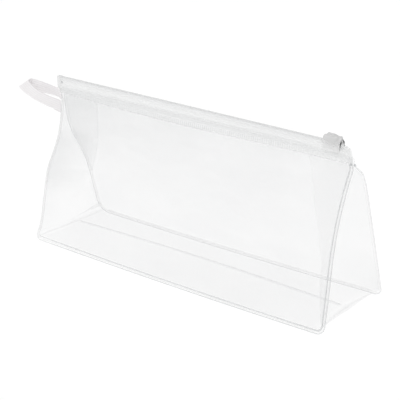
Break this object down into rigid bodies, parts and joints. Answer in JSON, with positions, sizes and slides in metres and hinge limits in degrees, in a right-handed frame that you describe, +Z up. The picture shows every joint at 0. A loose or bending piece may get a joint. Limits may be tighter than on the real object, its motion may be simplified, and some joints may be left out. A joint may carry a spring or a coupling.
{
  "type": "clear zip makeup bag",
  "caption": "Tent-shaped clear film makeup bag with a flat base, tucked gusset ends, a press-profile slide zip along the top and a ribbon wrist loop at one end.",
  "frame": {"origin": "middle of the whole outline's footprint, on the surface that the bag stands on", "axes": "+X along the zip towards the end where the closed slider stands, +Y towards the back panel, +Z up"},
  "size_m": [0.263, 0.0658, 0.102],
  "materials": {
    "clear_film": "clear soft film, glossy, faintly grey",
    "frosted_track": "translucent extrusion, frosted, ribbed lengthwise, knurled weld band",
    "clear_moulding": "translucent moulding, satin",
    "ribbon": "white woven ribbon with fine lengthwise ribs"
  },
  "bodies": {
    "bag": {"front_panel": "clear_film", "back_panel": "clear_film", "gusset_strip": "clear_film", "left_end_stop": "frosted_track", "right_end_stop": "frosted_track"},
    "front_lip": {"front_zip_track": "frosted_track"},
    "back_lip": {"back_zip_track": "frosted_track"},
    "slider": {"slider": "clear_moulding"},
    "strap": {"wrist_strap": "ribbon"}
  },
  "joints": [
    {"name": "slider_travel", "type": "slide", "parent": "bag", "child": "slider", "axis": [-0.9999, 0, 0.0145], "range_m": [0, 0.2]},
    {"name": "front_lip_open", "type": "slide", "parent": "bag", "child": "front_lip", "axis": [0, -1, 0], "range_m": [0, 0.016], "deforming": ["front_zip_track", "front_panel"]},
    {"name": "back_lip_open", "type": "slide", "parent": "bag", "child": "back_lip", "axis": [0, 1, 0], "range_m": [0, 0.016], "deforming": ["back_zip_track", "back_panel"]},
    {"name": "strap_swing", "type": "hinge", "parent": "bag", "child": "strap", "pos_m": [-0.09398, 0.00229, 0.085], "axis": [0, 0, 1], "range_deg": [-60, 60]}
  ],
  "couplings": [
    {"joint": "front_lip_open", "follows": "slider_travel", "ratio": 0.08},
    {"joint": "back_lip_open", "follows": "slider_travel", "ratio": 0.08}
  ]
}
